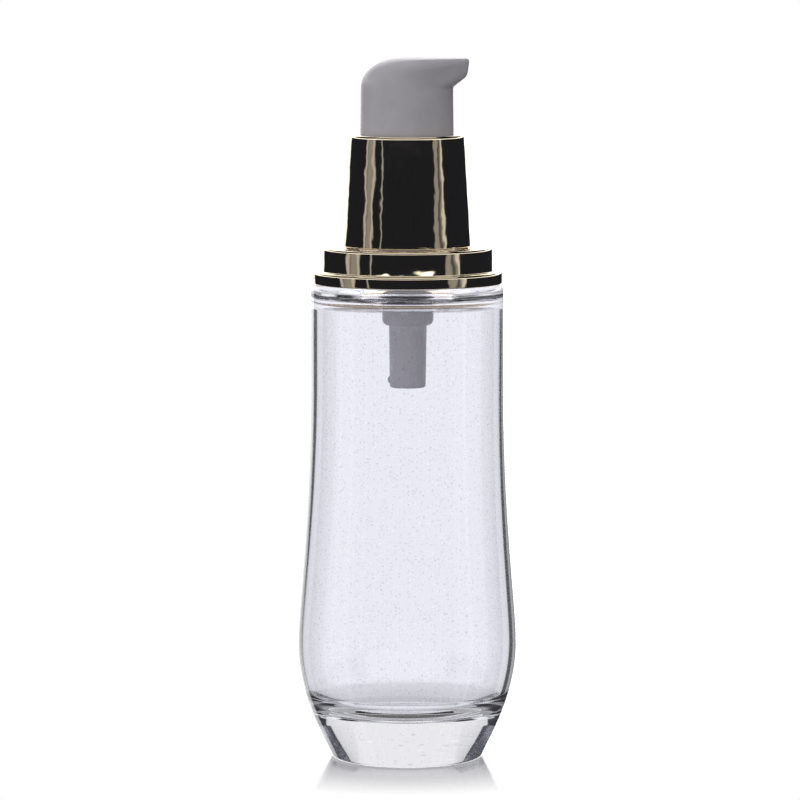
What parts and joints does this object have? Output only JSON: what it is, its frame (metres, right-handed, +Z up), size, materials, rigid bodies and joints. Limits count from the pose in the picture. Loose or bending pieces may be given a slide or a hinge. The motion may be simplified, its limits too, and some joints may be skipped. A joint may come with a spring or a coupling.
{
  "type": "foundation bottle",
  "caption": "Clear glass pump bottle with a heavy base, a stepped gold shoulder ring, a tapered gold collar and a white press-down actuator with a short beak.",
  "frame": {"origin": "centre of the foot, on the surface that the bottle stands on", "axes": "+Z up along the bottle's axis, +X towards the nozzle"},
  "size_m": [0.036, 0.036, 0.1145],
  "materials": {
    "flint_glass": "clear moulded glass, slightly seedy",
    "gold_plated_abs": "pale gold mirror plating",
    "gold_anodised_aluminium": "pale gold mirror anodising",
    "white_polypropylene": "moulded, satin",
    "natural_polypropylene": "moulded, milky",
    "soft_polyethylene": "moulded, waxy",
    "foam_liner": "expanded polyethylene foam",
    "spring_steel": "drawn wire",
    "ball_steel": "polished",
    "actuator_polypropylene": "moulded, softly glossy"
  },
  "bodies": {
    "bottle": {"glass_bottle": "flint_glass", "shoulder_ring": "gold_plated_abs"},
    "engine": {"pump_housing": "natural_polypropylene", "neck_gasket": "foam_liner", "retainer_ring": "white_polypropylene", "return_spring": "spring_steel"},
    "cap": {"screw_cap": "white_polypropylene", "collar_shell": "gold_anodised_aluminium"},
    "plunger": {"stem": "white_polypropylene", "piston_rod": "white_polypropylene"},
    "head": {"actuator": "actuator_polypropylene"},
    "piston": {"piston": "soft_polyethylene"},
    "ball": {"inlet_ball": "ball_steel"}
  },
  "joints": [
    {"name": "pump_rise", "type": "slide", "parent": "bottle", "child": "engine", "axis": [0, 0, 1], "range_m": [0, 0.00635]},
    {"name": "cap_turn", "type": "hinge", "parent": "engine", "child": "cap", "pos_m": [0, 0, 0.09], "axis": [0, 0, 1], "range_deg": [0, 720.5]},
    {"name": "pump_stroke", "type": "slide", "parent": "engine", "child": "plunger", "axis": [0, 0, -1], "range_m": [0, 0.0045], "stiffness_N_per_m": 1500, "springref_m": -0.0033, "deforming": ["return_spring"]},
    {"name": "head_turn", "type": "hinge", "parent": "plunger", "child": "head", "pos_m": [0, 0, 0.105], "axis": [0, 0, 1], "continuous": true},
    {"name": "piston_slip", "type": "slide", "parent": "plunger", "child": "piston", "axis": [0, 0, 1], "range_m": [0, 0.0008]},
    {"name": "ball_lift", "type": "slide", "parent": "engine", "child": "ball", "axis": [0, 0, 1], "range_m": [0, 0.001]}
  ],
  "couplings": [
    {"joint": "cap_turn", "follows": "pump_rise", "rad_per_m": 1979}
  ]
}
